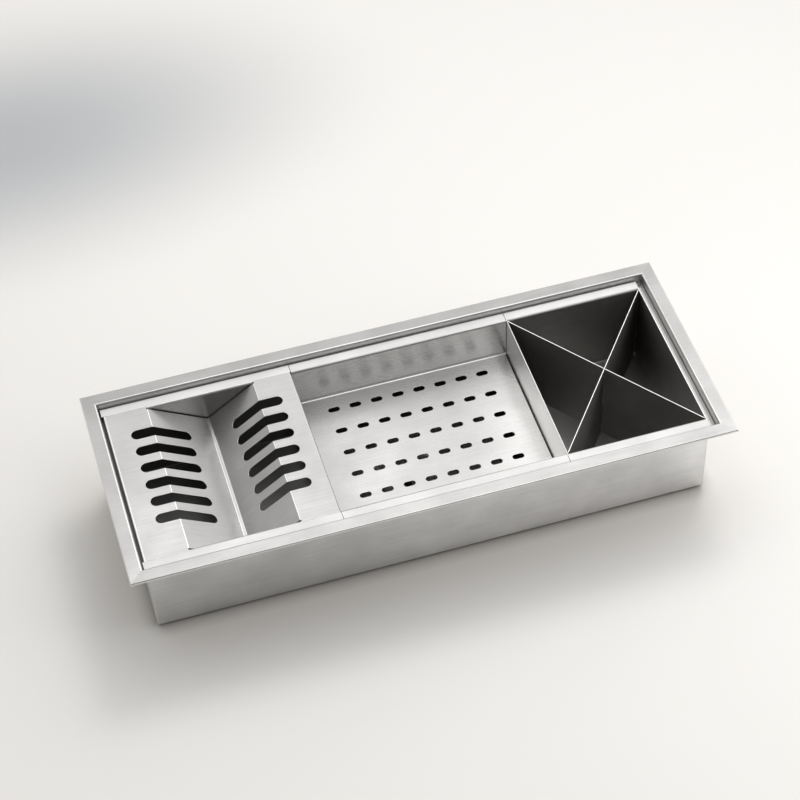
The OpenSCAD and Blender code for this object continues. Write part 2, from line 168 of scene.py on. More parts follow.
# The metal doesn't mirror the key lamp, which would be a hard bright patch on it
soft_lamp("key_lamp", (1.5, 2.4, 3.9), (0, 0, 0), (1.5, 1.35), 46, in_gloss=False)
soft_lamp("top_lamp", (0.3, 0.2, 1.9), (0.1, 0.1, 0.1), (2.4, 1.2), 9.9)
soft_lamp("back_right_lamp", (1.2, 1.0, 1.9), (0.4, 0, 0.1), (1.2, 0.8), 3.0)
soft_lamp("side_lamp", (1.5, -0.6, 0.9), (0.4, 0, 0.1), (0.8, 0.8), 5.5)
soft_lamp("left_lamp", (-0.45, 0.55, 1.25), (-0.4, 0, 0.1), (0.6, 0.6), 0.45)


# Basin sheet
# One sheet of 1.5 mm stainless steel, brushed lengthwise and folded into front wall, floor
# and back wall, with a dish pressed round the waste hole.
THICK = 1.5
BEND_R = 3.0
BEND_STEPS = 8
EASE = 0.25
HIGHLIGHT_FROM, HIGHLIGHT_TO = 0.1, 0.9
STRAIGHT_COS, SMOOTH_COS = 0.99999, 0.85
MARGIN, SNAP = 5, 1e-3


def chord(run, heading, curve):
    """From the start of a run to its end: the run's chord is run times sin(h) / h long, with h half
    the angle turned, and points along the heading turned by h."""
    half = curve * run / 2
    size = run * np.sinc(half / np.pi)
    return np.stack([size * np.cos(heading + half), size * np.sin(heading + half)], -1)


def fold_rows(corners, radii):
    """A folded profile as rows of straight runs and bends by turns. Each row holds the distance
    at which it starts, its length, its start point, its heading and its curvature."""
    corners = np.array(corners, float)
    leg = np.diff(corners, axis=0)
    heading = np.unwrap(np.arctan2(leg[:, 1], leg[:, 0]))
    turn = np.diff(heading)
    radii = np.array(radii, float)
    setback = radii * np.tan(np.abs(turn) / 2)
    rows = np.zeros((2 * len(leg) - 1, 6))
    rows[0::2, 1] = np.hypot(*leg.T) - np.r_[0, setback] - np.r_[setback, 0]
    rows[1::2, 1] = radii * np.abs(turn)
    rows[0::2, 4] = heading
    rows[1::2, 4] = heading[:-1]
    rows[1::2, 5] = np.sign(turn) / radii
    rows[1:, 0] = np.cumsum(rows[:-1, 1])
    steps = chord(rows[:, 1], rows[:, 4], rows[:, 5])
    rows[:, 2:4] = corners[0] + np.vstack([[0, 0], np.cumsum(steps, 0)[:-1]])
    return rows


def on_fold(rows, s):
    """The point at a distance along a folded profile, and the heading there."""
    i = np.clip(np.searchsorted(rows[:, 0], s, side="right") - 1, 0, len(rows) - 1)
    u = s - rows[i, 0]
    return rows[i, 2:4] + chord(u, rows[i, 4], rows[i, 5]), rows[i, 4] + rows[i, 5] * u


def bend_stations(rows):
    """The distances at which bends start, step and end."""
    return np.unique(np.concatenate([np.zeros(0)] + [
        np.linspace(r[0], r[0] + r[1], BEND_STEPS + 1) for r in rows[1::2]]))


def bend_highlight(rows, *bends):
    """A painted highlight along the middle of each named bend, as bright as a cut edge, and in that
    edge's material slot."""
    return [(rows[i, 0] + rows[i, 1] * HIGHLIGHT_FROM, rows[i, 0] + rows[i, 1] * HIGHLIGHT_TO, 1) for i in bends]


def sides_left(loop):
    """Unit vectors to the left of each side of a closed loop."""
    way = np.roll(loop, -1, 0) - loop
    return np.stack([-way[:, 1], way[:, 0]], -1) / np.hypot(*way.T)[:, None]


def corner_shift(loop, gap):
    """How far each corner of a loop moves when every side moves to its left by its own gap: the
    vector whose share along each of the two normals is that side's gap."""
    after = sides_left(loop)
    before = np.roll(after, 1, 0)
    g0, g1 = np.roll(gap, 1)[:, None], gap[:, None]
    cos = (before * after).sum(1, keepdims=True)
    flat = cos > STRAIGHT_COS
    shift = (g0 * (before - cos * after) + g1 * (after - cos * before)) / np.where(flat, 1, 1 - cos ** 2)
    return np.where(flat, (g0 + g1) / 2 * after, shift)


def with_crossings(loop, values, axis):
    """The loop with a corner added wherever a side crosses one of the values along an axis, and
    for each corner the side of the first loop that it starts on."""
    here, there = loop[:, axis], np.roll(loop, -1, 0)[:, axis]
    span = np.where(there == here, 1, there - here)
    t = (values[None, :] - here[:, None]) / span[:, None]
    side, station = np.nonzero((t > 1e-6) & (t < 1 - 1e-6) & (there != here)[:, None])
    t = t[side, station]
    extra = loop[side] + (np.roll(loop, -1, 0)[side] - loop[side]) * t[:, None]
    extra[:, axis] = values[station]
    order = np.argsort(np.r_[np.arange(len(loop)), side + t], kind="stable")
    return np.vstack([loop, extra])[order], np.r_[np.arange(len(loop)), side][order]


def inside(points, loops):
    """Whether each point lies in the first loop and outside the others: a ray from it crosses the
    sides of all loops an odd number of times."""
    a = np.vstack(loops)
    b = np.vstack([np.roll(loop, -1, 0) for loop in loops])
    x, y = points[:, :1], points[:, 1:]
    between = (a[:, 1] > y) != (b[:, 1] > y)
    rise = np.where(a[:, 1] == b[:, 1], 1, b[:, 1] - a[:, 1])
    return (between & (x < a[:, 0] + (b[:, 0] - a[:, 0]) * (y - a[:, 1]) / rise)).sum(1) % 2 == 1


def obround(centre, length, width, steps=12):
    """A slot with round ends, its length along the first axis."""
    turn = np.linspace(-np.pi / 2, np.pi / 2, steps + 1)
    end = np.stack([np.cos(turn), np.sin(turn)], -1) * width / 2
    reach = np.array([(length - width) / 2, 0])
    return np.vstack([end + reach, -end - reach]) + centre


def ring(centre, radius, steps):
    """Points round a circle."""
    turn = np.arange(steps) * 2 * np.pi / steps
    return np.stack([np.cos(turn), np.sin(turn)], -1) * radius + centre


def folded_sheet(corners, radii, side, loops, axes, origin=(0, 0, 0), grain=1, welded=(), open_loops=(),
                 mitre=None, lips=None, painted_light_and_shade=(), back_slot=0, ease_back=True, thick=THICK):
    """Triangles of a folded sheet, cut from a flat pattern. The pattern's first axis s is the
    distance along the profile's face and its second axis v the length of the fold lines.
    A point at s, v and depth w lies at P(s) - n(s) w + V v: on the folded profile, w into the
    sheet against its outward normal n, and v along the fold. Cut edges are eased by a quarter
    round. The other face lies to the left of the profile where side is 1, else to its right.
    grain: 1 where the brushing runs along v, 0 where it runs along s. welded: sides of the outline
    that meet another sheet and stay sharp. open_loops: loops that another surface continues.
    mitre: the two ends in v between which the sheet is cut to meet its neighbours at 45 degrees.
    lips: where a flat floor is turned down at both ends in v.
    painted_light_and_shade: stretches of the profile (from, to, material slot) painted in a paler or darker
    steel for light or shade, or such a stretch between two places in v (from, to, material slot, first v,
    last v). back_slot: the other face's slot. Slot 0 is the sheet's own finish and slot 1 that of its cut
    edges and of painted highlights along bends."""
    rows = fold_rows(corners, radii)
    stations = bend_stations(rows)
    lines = np.zeros(0)
    if lips:
        turn = np.linspace(0, np.pi / 2, BEND_STEPS + 1) * lips["radius"]
        lines = lips["middle"] + np.r_[-lips["straight"] - turn, lips["straight"] + turn]

    def surface(p, w):
        """Point, outward normal and the directions of s and v at a pattern point and depth."""
        s, v = p[:, 0], p[:, 1]
        point, heading = on_fold(rows, s)
        a, b, c = (np.array(axis, float) for axis in axes)
        tangent = np.cos(heading)[:, None] * a + np.sin(heading)[:, None] * b
        normal = (np.sin(heading)[:, None] * a - np.cos(heading)[:, None] * b) * side
        along = np.tile(c, (len(p), 1))
        drop = np.zeros(len(p))
        if mitre:
            v = v - (normal @ a) * w * (1 - 2 * (v - mitre[0]) / (mitre[1] - mitre[0]))
        if lips:
            beyond = np.abs(v - lips["middle"]) - lips["straight"]
            bent = (beyond > 0) & (s > lips["low"]) & (s < lips["high"])
            beyond = np.where(bent, beyond, 0)
            way = np.sign(v - lips["middle"])
            r = lips["radius"]
            angle = np.clip(beyond / r, 0, np.pi / 2)
            v = np.where(bent, lips["middle"] + way * (lips["straight"] + r * np.sin(angle)), v)
            drop = r * (1 - np.cos(angle)) + np.maximum(beyond - r * np.pi / 2, 0)
            cos, sin = np.cos(angle)[:, None], (way * np.sin(angle))[:, None]
            flat = normal
            normal, along = flat * cos + c * sin, c * cos - flat * sin
            place = flat * -drop[:, None]
        else:
            place = 0
        spot = (point[:, :1] * a + point[:, 1:] * b + v[:, None] * c + place
                - normal * np.asarray(w)[:, None] + np.array(origin, float))
        return spot, normal, tangent, along

    flat_loops, shifts, sharp = [], [], []
    for k, loop in enumerate(loops):
        loop = np.array(loop, float)
        area = (loop[:, 0] * np.roll(loop[:, 1], -1) - loop[:, 1] * np.roll(loop[:, 0], -1)).sum()
        keep = np.zeros(len(loop), bool)
        if k == 0:
            keep[list(welded)] = True
        if k in open_loops:
            keep[:] = True
        if (area > 0) != (k == 0):
            loop, keep = loop[::-1], np.roll(keep[::-1], -1)
        gap = np.where(keep, 0, EASE)
        loop = loop + corner_shift(loop, gap)
        for values, axis in ((stations, 0), (lines, 1)):
            loop, source = with_crossings(loop, values, axis)
            keep = keep[source]
        flat_loops.append(loop)
        shifts.append(corner_shift(loop, np.where(keep, 0, EASE)))
        sharp.append(keep)

    # The pattern is cut into triangles between its loops and the fold lines
    outline = flat_loops[0]
    low, high = outline.min(0) - MARGIN, outline.max(0) + MARGIN
    first = np.cumsum([0] + [len(loop) for loop in flat_loops])
    edges = [(first[k] + i, first[k] + (i + 1) % len(loop))
             for k, loop in enumerate(flat_loops) for i in range(len(loop))]
    ends = [((s, low[1]), (s, high[1])) for s in stations] + [((low[0], v), (high[0], v)) for v in lines]
    corner_points = np.vstack(flat_loops + [np.array(ends).reshape(-1, 2)])
    edges += [(first[-1] + 2 * k, first[-1] + 2 * k + 1) for k in range(len(ends))]
    found, _, triangles, source = delaunay_2d_cdt(corner_points.tolist(), edges, [], 0, 1e-5, True)[:4]
    found = np.array([tuple(p) for p in found])
    shift = np.zeros_like(found)
    all_shifts = np.vstack(shifts + [np.zeros((2 * len(ends), 2))])
    known = np.array([k for k, ids in enumerate(source) if ids])
    given = np.array([ids[0] for ids in source if ids])
    found[known], shift[known] = corner_points[given], all_shifts[given]
    for values, axis in ((stations, 0), (lines, 1)):
        if len(values):
            nearest = values[np.abs(found[:, axis, None] - values).argmin(1)]
            close = np.abs(found[:, axis] - nearest) < SNAP
            found[close, axis] = nearest[close]
    triangles = np.array([tuple(t) for t in triangles])
    triangles = triangles[inside(found[triangles].mean(1), flat_loops)]

    spots, normals, marks, kinds = [], [], [], []

    def keep_part(p, w, normal_of, kind, by_stretch=()):
        """Adds triangles, given as pattern corners, depths, a rule for their normals and a slot."""
        spot, outward, tangent, along = surface(p, w)
        spots.append(spot.reshape(-1, 3, 3))
        normals.append(normal_of(outward, tangent, along).reshape(-1, 3, 3))
        marks.append((p[:, ::-1] if grain == 0 else p).reshape(-1, 3, 2))
        slots = np.full(len(p) // 3, kind)
        middle = p.reshape(-1, 3, 2).mean(1)
        for start, stop, slot, *run in by_stretch:
            within = (middle[:, 0] > start) & (middle[:, 0] < stop)
            slots[within & (middle[:, 1] > run[0]) & (middle[:, 1] < run[1]) if run else within] = slot
        kinds.append(slots)

    front = found[triangles].reshape(-1, 2)
    keep_part(front, np.zeros(len(front)), lambda n, t, a: n, 0, painted_light_and_shade)
    back = front if ease_back else (found - shift)[triangles].reshape(-1, 2)
    keep_part(back, np.full(len(back), thick), lambda n, t, a: -n, back_slot)

    # Cut edges: a quarter round on each face and the straight cut between them
    turn = np.array([0, np.pi / 4, np.pi / 2])
    out, deep, lean = np.sin(turn), EASE * (1 - np.cos(turn)), np.cos(turn)
    if ease_back:
        out, deep, lean = np.r_[out, out[::-1]], np.r_[deep, thick - deep[::-1]], np.r_[lean, -lean[::-1]]
    else:
        out, deep, lean = np.r_[out, 1], np.r_[deep, thick], np.r_[lean, 0]
    for k, loop in enumerate(flat_loops):
        if k in open_loops:
            continue
        left = sides_left(loop)
        before, after = np.roll(left, 1, 0), np.roll(left, -1, 0)
        start = np.where(((before * left).sum(1) > SMOOTH_COS)[:, None], before + left, left)
        end = np.where(((after * left).sum(1) > SMOOTH_COS)[:, None], after + left, left)
        start, end = (-x / np.hypot(*x.T)[:, None] for x in (start, end))
        rim = loop[None] - shifts[k][None] * out[:, None, None]
        rim_next = np.roll(rim, -1, 1)
        here, there = rim[:-1], rim[1:]
        here_next, there_next = rim_next[:-1], rim_next[1:]
        count = (len(out) - 1, len(loop))
        upper = np.broadcast_to(deep[:-1, None], count)
        lower = np.broadcast_to(deep[1:, None], count)
        bright = np.where(sharp[k], 0.0, 1.0)
        lean_up, lean_down = lean[:-1, None] * bright, lean[1:, None] * bright
        first_way, last_way = np.broadcast_to(start, here.shape), np.broadcast_to(end, here.shape)
        p = np.stack([here, here_next, there_next, here, there_next, there], 2).reshape(-1, 2)
        w = np.stack([upper, upper, lower, upper, lower, lower], 2).reshape(-1)
        tilt = np.stack([lean_up, lean_up, lean_down, lean_up, lean_down, lean_down], 2).reshape(-1)
        way = np.stack([first_way, last_way, last_way, first_way, last_way, first_way], 2).reshape(-1, 2)

        def edge_normal(n, t, a, tilt=tilt[:, None], way=way):
            return n * tilt + (t * way[:, :1] + a * way[:, 1:]) * np.sqrt(1 - tilt ** 2)

        keep_part(p, w, edge_normal, 1)
    return [np.concatenate(part) for part in (spots, normals, marks, kinds)]


def turned(path, centre=(0, 0, 0), steps=96, sharp_cos=0.75):
    """Triangles of a turned surface: each path point (radius, height) carried round the axis. The
    surface faces left of the path. Normals blend between the path's sides unless these meet sharply."""
    path = np.array(path, float)
    way = np.diff(path, axis=0)
    left = np.stack([-way[:, 1], way[:, 0]], -1) / np.hypot(*way.T)[:, None]
    joined = (left[1:] * left[:-1]).sum(1) > sharp_cos
    both = left[1:] + left[:-1]
    both = both / np.hypot(*both.T)[:, None]
    start = np.vstack([left[:1], np.where(joined[:, None], both, left[1:])])
    end = np.vstack([np.where(joined[:, None], both, left[:-1]), left[-1:]])
    angle = np.arange(steps + 1) * 2 * np.pi / steps
    angle[-1] = 0

    def carried(rz, k):
        return np.stack([rz[:, 0] * np.cos(angle[k]), rz[:, 0] * np.sin(angle[k]), rz[:, 1]], -1)

    i, k = (x.ravel() for x in np.meshgrid(np.arange(len(way)), np.arange(steps), indexing="ij"))
    a, b, c, d = (carried(path[i], k), carried(path[i + 1], k), carried(path[i + 1], k + 1),
                  carried(path[i], k + 1))
    na, nb, nc, nd = carried(start[i], k), carried(end[i], k), carried(end[i], k + 1), carried(start[i], k + 1)
    spots = np.stack([a, b, c, a, c, d], 1).reshape(-1, 3, 3) + np.array(centre, float)
    normals = np.stack([na, nb, nc, na, nc, nd], 1).reshape(-1, 3, 3)
    return [spots, normals, spots[:, :, 1::-1].copy(), np.zeros(len(spots), int)]


WELD_PER_MM = 1e4


def make_piece(name, body, nodes, slot, materials, *parts):
    """Joins parts into one mesh in metres, its triangles turned to face the way their normals
    point and their corners merged on a fine grid, and lets it ride on its body in place of the
    nodes."""
    spots, normals, marks, kinds = (np.concatenate(part) for part in zip(*parts))
    facing = np.cross(spots[:, 1] - spots[:, 0], spots[:, 2] - spots[:, 0])
    solid = np.linalg.norm(facing, axis=1) > 1e-7
    spots, normals, marks, kinds, facing = (x[solid] for x in (spots, normals, marks, kinds, facing))
    wrong = (facing * normals.sum(1)).sum(1) < 0
    for part in (spots, normals, marks):
        part[wrong] = part[wrong][:, ::-1]
    grid = np.round(spots.reshape(-1, 3) * WELD_PER_MM).astype(np.int64)
    points, faces = np.unique(grid, axis=0, return_inverse=True)
    faces = faces.reshape(-1, 3)
    whole = (faces[:, 0] != faces[:, 1]) & (faces[:, 1] != faces[:, 2]) & (faces[:, 2] != faces[:, 0])
    faces, normals, marks, kinds = faces[whole], normals[whole], marks[whole], kinds[whole]
    mesh = bpy.data.meshes.new(name)
    mesh.from_pydata((points * (1e-3 / WELD_PER_MM)).tolist(), [], faces.tolist())
    mesh.polygons.foreach_set("material_index", kinds.astype(np.int32))
    mesh.polygons.foreach_set("use_smooth", np.ones(len(faces), bool))
    pattern = mesh.uv_layers.new(name="sheet")
    pattern.data.foreach_set("uv", (marks * 1e-3).astype(np.float32).ravel())
    for material in materials:
        mesh.materials.append(material)
    mesh.update()
    mesh.normals_split_custom_set(normals.reshape(-1, 3).tolist())
    piece = bpy.data.objects.new(name, mesh)
    bpy.context.scene.collection.objects.link(piece)
    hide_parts(*nodes)
    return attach(piece, body)


# Grain of a fine belt: streaks 0.6 to 2 mm wide and 40 to 150 mm long, as coarse as they need
# to be to show from the camera, where the real ones are a tenth as wide. The lengths here are the
# pitch of the coarse streaks across and along the grain, of the clouds and of the slow waves.
STREAK_W, STREAK_L, CLOUD_L, WAVE_L = 1.5625, 111.111, 71.4286, 111.111
FINE_STREAKS, STREAK_DEPTH, GLOSS_SPREAD = 2.7, 2.5e-5, 0.04


def brushed_steel(name, dark, light, rough, aniso=0.75, streak=1.25, wave=0.3, painted_fades=()):
    """Stainless steel 304 under a belt finish. The grain runs along the pattern's second axis, so
    the gloss spreads across it. Cloudy patches and slow waves in the sheet break up reflections.
    wave is their height in millimetres, and streak how strongly the grain changes the tone.
    Each painted fade (axis, from, to, gain) multiplies the colour by one at `from` and by the gain at `to`,
    in metres, with a smooth step between: painted shading, standing in for the slow shading that a room gives a
    long sheet."""
    steel = bpy.data.materials.new(name)
    tree = new_tree(steel)
    place = add(tree, "ShaderNodeUVMap", uv_map="sheet").outputs[0]
    per_metre = (1000 / STREAK_W, 1000 / STREAK_L, 1000 / STREAK_W)
    belt = add(tree, "ShaderNodeMapping", {"Vector": place, "Scale": per_metre})
    coarse = add(tree, "ShaderNodeTexNoise", {"Vector": belt.outputs[0], "Scale": 1.0, "Detail": 2.0,
                                              "Roughness": 0.55})
    fine = add(tree, "ShaderNodeTexNoise", {"Vector": belt.outputs[0], "Scale": FINE_STREAKS, "Detail": 2.0,
                                            "Roughness": 0.6})
    cloud = add(tree, "ShaderNodeTexNoise", {"Vector": place, "Scale": 1000 / CLOUD_L, "Detail": 3.0,
                                             "Roughness": 0.5})
    both = add(tree, "ShaderNodeMath", {0: coarse.outputs[0], 1: fine.outputs[0]}, operation="ADD")
    grain = add(tree, "ShaderNodeMath", {0: both.outputs[0], 1: 0.5}, operation="MULTIPLY")
    tone = add(tree, "ShaderNodeMath", {0: grain.outputs[0], 1: streak, 2: 0.5 - streak / 2},
               operation="MULTIPLY_ADD")
    patch = add(tree, "ShaderNodeMath", {0: cloud.outputs[0], 1: 1.0, 2: -0.5}, operation="MULTIPLY_ADD")
    mix = add(tree, "ShaderNodeMath", {0: tone.outputs[0], 1: patch.outputs[0]}, operation="ADD")
    colour = add(tree, "ShaderNodeMix", {0: mix.outputs[0], 6: linear(dark), 7: linear(light)},
                 data_type="RGBA").outputs[2]
    # Painted shading: each fade scales the colour smoothly along one axis
    for axis, start, end, gain in painted_fades:
        spot = add(tree, "ShaderNodeSeparateXYZ", {0: add(tree, "ShaderNodeTexCoord").outputs["Object"]})
        gain = add(tree, "ShaderNodeMapRange", {"Value": spot.outputs[axis], "From Min": start, "From Max": end,
                                                "To Min": 1.0, "To Max": gain}, interpolation_type="SMOOTHSTEP")
        colour = add(tree, "ShaderNodeVectorMath", {0: colour, "Scale": gain.outputs[0]},
                     operation="SCALE").outputs[0]
    gloss = add(tree, "ShaderNodeMapRange", {"Value": mix.outputs[0], "From Min": 0.2, "From Max": 0.8,
                                             "To Min": rough + GLOSS_SPREAD, "To Max": rough - GLOSS_SPREAD})
    slow = add(tree, "ShaderNodeTexNoise", {"Vector": place, "Scale": 1000 / WAVE_L, "Detail": 1.0})
    dents = add(tree, "ShaderNodeBump", {"Height": slow.outputs[0], "Strength": 1.0, "Distance": wave * 1e-3})
    lines = add(tree, "ShaderNodeBump", {"Height": grain.outputs[0], "Strength": 0.5, "Distance": STREAK_DEPTH,
                                         "Normal": dents.outputs[0]})
    shader = add(tree, "ShaderNodeBsdfPrincipled",
                 {"Base Color": colour, "Metallic": 1.0, "Roughness": gloss.outputs[0],
                  "Normal": lines.outputs[0], "Anisotropic": aniso})
    spread = add(tree, "ShaderNodeTangent", direction_type="UV_MAP", uv_map="sheet")
    tree.links.new(spread.outputs[0], shader.inputs["Tangent"])
    add(tree, "ShaderNodeOutputMaterial", {"Surface": shader.outputs[0]})
    return steel


ALONG_X = ((0, 1, 0), (0, 0, 1), (1, 0, 0))
ALONG_Y = ((1, 0, 0), (0, 0, 1), (0, 1, 0))
WALL_Y = 144.0
WALL_X = 420.5
FLOOR_Z = 4.0
LEDGE_Z = 146.0
DISH_CUT_R, DISH_R, DISH_SLOPE, DISH_DEPTH = 60.0, 57.0, 3.5, 3.5
DRAIN_R, DISH_BEND = 45.0, 1.8
wall_line = [(-WALL_Y, LEDGE_Z), (-WALL_Y, FLOOR_Z), (WALL_Y, FLOOR_Z), (WALL_Y, LEDGE_Z)]
# The brushed front wall is pale and streaky, and painted lighter towards the right for light. A deburred
# edge shines as a thin even line, and the same steel paints highlights along bends. The faces inside
# and underneath are painted a dull dark grey for shade
basin_steel = brushed_steel("belt_brushed_304_basin", "#c1c1c1", "#e7e7e7", 0.33,
                            painted_fades=[(0, -0.2, 0.1, 1.22)])
# The cut edges' own deburred steel, which also paints the highlights along bends
edge_and_highlight_steel = brushed_steel("deburred_cut_edge_and_painted_bend_highlight", "#d4d3d2", "#eae9e8", 0.22, aniso=0.0, streak=0.4)
# Painted shade: a dull dark grey for insides, undersides and narrow recesses
shade_steel = brushed_steel("painted_shade_304_inside", "#6e6d6c", "#868584", 0.42, streak=0.6)
basin_rows = fold_rows(wall_line, [BEND_R, BEND_R])
basin_run = basin_rows[-1, 0] + basin_rows[-1, 1]
basin_end = WALL_X - THICK
dish_edge = ring((0, 0), DISH_CUT_R, 96)[:, ::-1] + (basin_run / 2, 0)
basin_pattern = [[(0, -basin_end), (basin_run, -basin_end), (basin_run, basin_end), (0, basin_end)], dish_edge]
basin = folded_sheet(wall_line, [BEND_R, BEND_R], 1, basin_pattern, ALONG_X, welded=(0, 1, 2, 3),
                     open_loops=(1,), back_slot=2)
dish_line = [(DISH_CUT_R, FLOOR_Z + THICK), (DISH_R, FLOOR_Z + THICK),
             (DISH_R - DISH_SLOPE, FLOOR_Z + THICK - DISH_DEPTH), (DRAIN_R, FLOOR_Z + THICK - DISH_DEPTH)]
dish_rows = fold_rows(dish_line, [DISH_BEND, DISH_BEND])
dish_s = np.r_[0, bend_stations(dish_rows), dish_rows[-1, 0] + dish_rows[-1, 1] - EASE]
dish_points, dish_heading = on_fold(dish_rows, dish_s)
dish_under = dish_points + THICK * np.stack([-np.sin(dish_heading), np.cos(dish_heading)], -1)
quarter = np.linspace(0, np.pi / 2, 4)[1:]
lip_z = FLOOR_Z + THICK - DISH_DEPTH
lip_top = np.stack([DRAIN_R + EASE * (1 - np.sin(quarter)), lip_z - EASE * (1 - np.cos(quarter))], -1)
lip_low = np.stack([DRAIN_R + EASE * (1 - np.cos(quarter)), lip_z - THICK + EASE * (1 - np.sin(quarter))], -1)
dish_path = np.vstack([dish_points, lip_top, [[DRAIN_R, lip_z - THICK + EASE]], lip_low, dish_under[::-1][1:]])
dish = turned(dish_path[::-1])
make_piece("basin_sheet", "sink", ["trough"], "basin_steel", [basin_steel, edge_and_highlight_steel, shade_steel], basin, dish)


# End walls
# Flat plates with the outline of the folded sheet, welded to its two ends, the weld
# ground flush.
def bent_outline(corners, radii):
    """Points along a folded profile, bends included."""
    rows = fold_rows(corners, radii)
    return on_fold(rows, np.unique(np.r_[0, bend_stations(rows), rows[-1, 0] + rows[-1, 1]]))[0]


end_outline = bent_outline(wall_line, [BEND_R, BEND_R]) + (WALL_Y, 0)
END_PLANE = ((0, 1, 0), (1, 0, 0), (0, 0, 1))
for name, side in (("left", -1), ("right", 1)):
    plate = folded_sheet([(-WALL_Y, side * WALL_X), (WALL_Y, side * WALL_X)], [], -side, [end_outline],
                         END_PLANE, grain=0, back_slot=2, ease_back=False)
    make_piece(f"{name}_end_plate", "sink", [f"{name}_end_wall"], "basin_steel",
               [basin_steel, edge_and_highlight_steel, shade_steel], plate)


# Rim
# Four strips of the same sheet, each folded into turned-down edge, flat band, drop and ledge,
# mitred and welded at the corners. The band is brushed along the sink on all four sides.
HALF_L, HALF_W, TOP_Z = 450.0, 180.0, 162.0
RIM_W, RIM_EDGE, RIM_EDGE_R = 21.5, 4.0, 2.0
SIDE_INSET, END_INSET = HALF_W - WALL_Y, HALF_L - WALL_X
# The band is painted darker towards the back and lighter towards the front, for light and shade
rim_steel = brushed_steel("belt_brushed_304_rim", "#a6a5a4", "#c3c2c1", 0.36,
                          painted_fades=[(1, -0.05, -0.18, 1.1), (1, 0.05, 0.18, 0.87)])
# The ledge is painted a darker grey for shade, and the drop above it is painted pale for the light it
# catches. Where the left ledge shows only as a narrow gap beside the rack, it is painted near black for shadow.
ledge_steel = brushed_steel("painted_shade_304_ledge", "#8f8e8d", "#b0afae", 0.18)
gap_steel = brushed_steel("painted_shadow_304_ledge_in_gap", "#343332", "#484746", 0.3)
drop_steel = brushed_steel("painted_light_304_drop", "#d9d8d7", "#efeeed", 0.38)


def rim_strip(inset, half_run):
    """One strip: its profile starts at the outer edge, and its ends follow the 45 degree mitre
    until the corner of the basin. Slot 2 is the ledge, painted in shade, 3 the turned-down edge and the drop,
    painted in light, and 4 the bend between drop and ledge, painted in shade."""
    line = [(0, TOP_Z - RIM_EDGE), (0, TOP_Z), (RIM_W, TOP_Z), (RIM_W, LEDGE_Z), (inset, LEDGE_Z)]
    radii = [RIM_EDGE_R, BEND_R, BEND_R - THICK]
    rows = fold_rows(line, radii)
    run = rows[-1, 0] + rows[-1, 1]
    corner = min(inset, END_INSET)
    s = np.unique(np.r_[0, bend_stations(rows), run - max(inset - corner, 1e-9), run])
    cut = np.minimum(on_fold(rows, s)[0][:, 0], corner)
    outline = np.vstack([np.stack([s, cut - half_run], -1), np.stack([s, half_run - cut], -1)[::-1]])
    welded = [i for i in range(len(outline)) if i != 2 * len(s) - 1]
    return line, radii, outline, welded, bend_highlight(rows, 1, 3) + [
        (0, rows[1, 0], 3), (rows[4, 0], rows[5, 0], 3), (rows[5, 0], rows[6, 0], 4), (rows[6, 0], run, 2)]


for name, way in (("front", 1), ("back", -1), ("left", 1), ("right", -1)):
    if name in ("front", "back"):
        inset, half_run, grain = SIDE_INSET, HALF_L, 1
        axes, origin = ((0, way, 0), (0, 0, 1), (1, 0, 0)), (0, -way * HALF_W, 0)
    else:
        inset, half_run, grain = END_INSET, HALF_W, 0
        axes, origin = ((way, 0, 0), (0, 0, 1), (0, 1, 0)), (-way * HALF_L, 0, 0)
    line, radii, outline, welded, painted_light_and_shade = rim_strip(inset, half_run)
    strip = folded_sheet(line, radii, -1, [outline], axes, origin, grain, welded, mitre=(-half_run, half_run),
                         painted_light_and_shade=painted_light_and_shade)
    # The left ledge is painted near black for shadow, the others a painted grey shade
    shelf_steel = gap_steel if name == "left" else ledge_steel
    make_piece(f"{name}_rim_strip", "sink", [f"{name}_rim"], "rim_steel",
               [rim_steel, edge_and_highlight_steel, shelf_steel, drop_steel, shade_steel], strip)


# Clip rails
# Angles of the same sheet, spot welded to the outside of the front and back walls. The fixing
# clips' screws go through their two holes.
CLIP_TOP, CLIP_LEG, CLIP_FOOT, CLIP_L, CLIP_HOLE, CLIP_PITCH = 142.5, 12.0, 132.5, 700.0, 3.3, 560.0
rail_steel = brushed_steel("mill_finish_304", "#8f8e8d", "#b4b3b2", 0.42, aniso=0.3, streak=0.5)
clip_line = [(-WALL_Y, CLIP_TOP), (-WALL_Y, CLIP_FOOT), (-WALL_Y - CLIP_LEG, CLIP_FOOT)]
clip_rows = fold_rows(clip_line, [BEND_R])
clip_run = clip_rows[-1, 0] + clip_rows[-1, 1]
hole_s = clip_run - CLIP_LEG + (CLIP_LEG + THICK) / 2
clip_loops = [[(0, -CLIP_L / 2), (clip_run, -CLIP_L / 2), (clip_run, CLIP_L / 2), (0, CLIP_L / 2)],
              *(ring((hole_s, x), CLIP_HOLE, 32) for x in (-CLIP_PITCH / 2, CLIP_PITCH / 2))]
for name, way in (("front", 1), ("back", -1)):
    rail = folded_sheet(clip_line, [BEND_R], -1, clip_loops, ((0, way, 0), (0, 0, 1), (1, 0, 0)))
    make_piece(f"{name}_clip_angle", "sink", [f"{name}_clip_rail"], "rail_steel", [rail_steel, edge_and_highlight_steel], rail)


# Seal and sound pads
# A closed-cell foam strip under the rim, and two rubber sheets glued under the floor,
# which the sink stands on. Both are matt and a little grainy.
DUST_L, DUST_GAIN, DUST_LIFT = 55.5556, 1.7, 0.01


